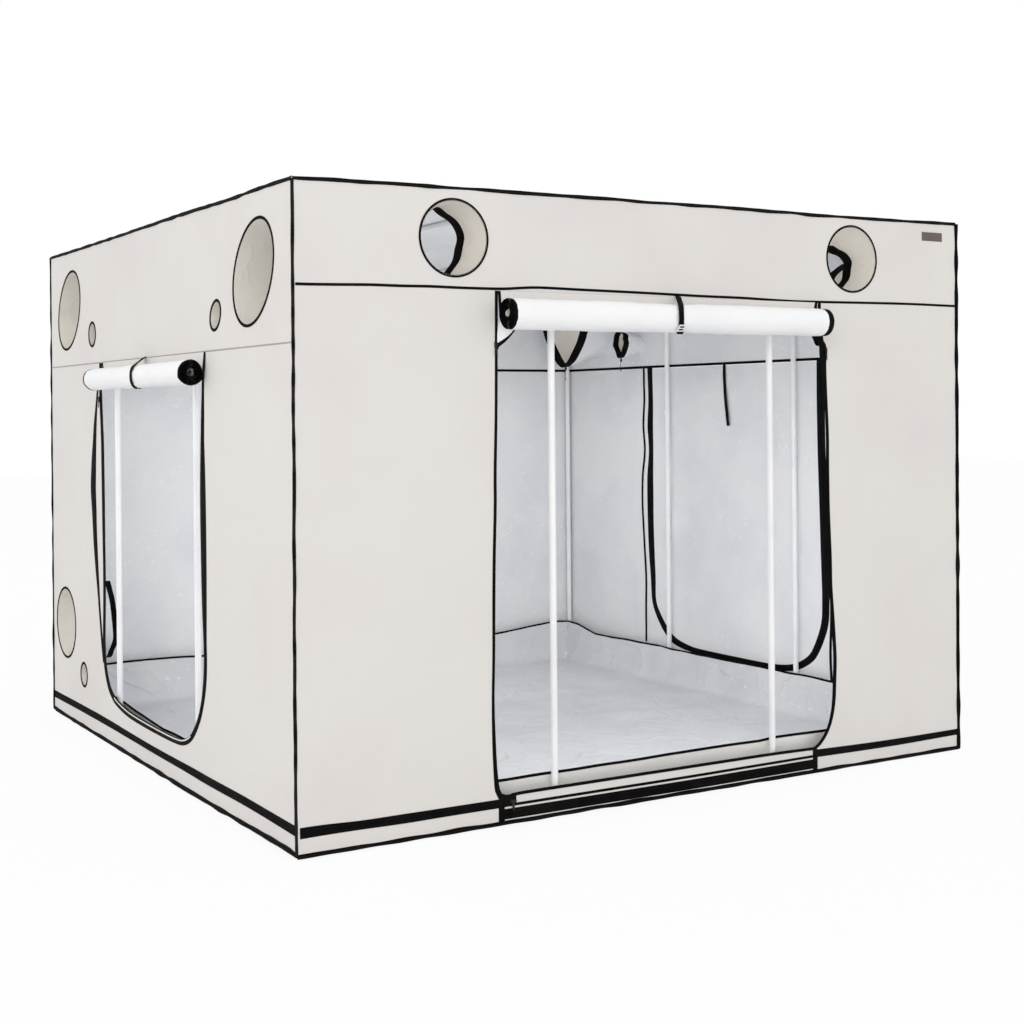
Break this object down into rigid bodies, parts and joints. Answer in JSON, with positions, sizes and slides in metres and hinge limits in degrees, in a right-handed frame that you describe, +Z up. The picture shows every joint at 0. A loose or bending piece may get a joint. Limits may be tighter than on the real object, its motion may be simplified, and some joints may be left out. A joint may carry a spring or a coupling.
{
  "type": "indoor grow tent",
  "caption": "Square walk-in grow tent: white tube frame, canvas cover with roll-up doors, piped edges, duct sleeves with draw-cord hems and a spill tray.",
  "frame": {"origin": "middle of the underside of the floor sheet, where the tent stands on the ground", "axes": "+Z up; -Y towards the wide front door; +X to the right seen from the front"},
  "size_m": [3.1061, 3.1162, 2.2],
  "materials": {
    "canvas": "coated woven canvas, satin",
    "sleeve_canvas": "thin coated canvas",
    "lining": "reflective foil lining",
    "black_trim": "woven webbing and piping",
    "white_steel": "white powder coat",
    "black_metal": "black lacquer",
    "white_plastic": "moulded nylon"
  },
  "bodies": {
    "tent": {"edge_piping": "black_trim", "floor_sheet": "lining", "roof_panel": "canvas", "back_wall": "canvas", "front_wall": "canvas", "left_wall": "canvas", "right_wall": "canvas", "front_seam": "black_trim", "front_left_duct_sleeve": "sleeve_canvas", "front_right_duct_sleeve": "sleeve_canvas", "left_near_duct_sleeve": "sleeve_canvas", "left_far_duct_sleeve": "sleeve_canvas", "left_low_duct_sleeve": "sleeve_canvas", "left_near_cable_sleeve": "sleeve_canvas", "left_far_cable_sleeve": "sleeve_canvas", "left_low_cable_sleeve": "sleeve_canvas", "right_near_duct_sleeve": "sleeve_canvas", "right_far_duct_sleeve": "sleeve_canvas", "right_low_duct_sleeve": "sleeve_canvas", "right_near_cable_sleeve": "sleeve_canvas", "right_far_cable_sleeve": "sleeve_canvas", "right_low_cable_sleeve": "sleeve_canvas", "front_zip": "black_trim", "left_zip": "black_trim", "right_zip": "black_trim", "right_door_strap": "black_trim", "spill_tray": "lining", "front_left_corner_post": "white_steel", "front_right_corner_post": "white_steel", "back_left_corner_post": "white_steel", "back_right_corner_post": "white_steel", "front_bottom_rail": "white_steel", "right_bottom_rail": "white_steel", "back_bottom_rail": "white_steel", "left_bottom_rail": "white_steel", "front_top_rail": "white_steel", "right_top_rail": "white_steel", "back_top_rail": "white_steel", "left_top_rail": "white_steel", "front_left_post": "white_steel", "front_right_post": "white_steel", "right_left_post": "white_steel", "right_right_post": "white_steel", "back_left_post": "white_steel", "back_right_post": "white_steel", "left_left_post": "white_steel", "left_right_post": "white_steel", "left_ceiling_bar": "white_steel", "right_ceiling_bar": "white_steel"},
    "front_roll": {"front_door_roll": "canvas", "front_roll_strap": "black_trim", "front_strap_buckle": "white_plastic"},
    "left_roll": {"left_door_roll": "canvas", "left_roll_strap": "black_trim"},
    "right_door": {"right_door": "canvas"},
    "front_left_slider": {"front_left_slider": "black_metal"},
    "front_right_slider": {"front_right_slider": "black_metal"},
    "front_sill_slider": {"front_sill_slider": "black_metal"},
    "left_slider": {"left_slider": "black_metal"},
    "right_slider": {"right_slider": "black_metal"}
  },
  "joints": [
    {"name": "front_roll_swing", "type": "hinge", "parent": "tent", "child": "front_roll", "pos_m": [0, -1.4978, 1.8502], "axis": [-1, 0, 0], "range_deg": [0, 30]},
    {"name": "left_roll_swing", "type": "hinge", "parent": "tent", "child": "left_roll", "pos_m": [-1.49705, 0, 1.66], "axis": [0, 1, 0], "range_deg": [0, 30]},
    {"name": "right_door_swing", "type": "hinge", "parent": "tent", "child": "right_door", "pos_m": [1.49525, 0, 1.6562], "axis": [0, -1, 0], "range_deg": [0, 80]},
    {"name": "front_left_slider_travel", "type": "slide", "parent": "tent", "child": "front_left_slider", "axis": [0, 0, -1], "range_m": [0, 1.48]},
    {"name": "front_right_slider_travel", "type": "slide", "parent": "tent", "child": "front_right_slider", "axis": [0, 0, -1], "range_m": [0, 1.48]},
    {"name": "front_sill_slider_travel", "type": "slide", "parent": "tent", "child": "front_sill_slider", "axis": [1, 0, 0], "range_m": [0, 1.38]},
    {"name": "left_slider_travel", "type": "slide", "parent": "tent", "child": "left_slider", "axis": [0, 0, -1], "range_m": [0, 1]},
    {"name": "right_slider_travel", "type": "slide", "parent": "tent", "child": "right_slider", "axis": [0, 0, 1], "range_m": [0, 1.05]}
  ]
}
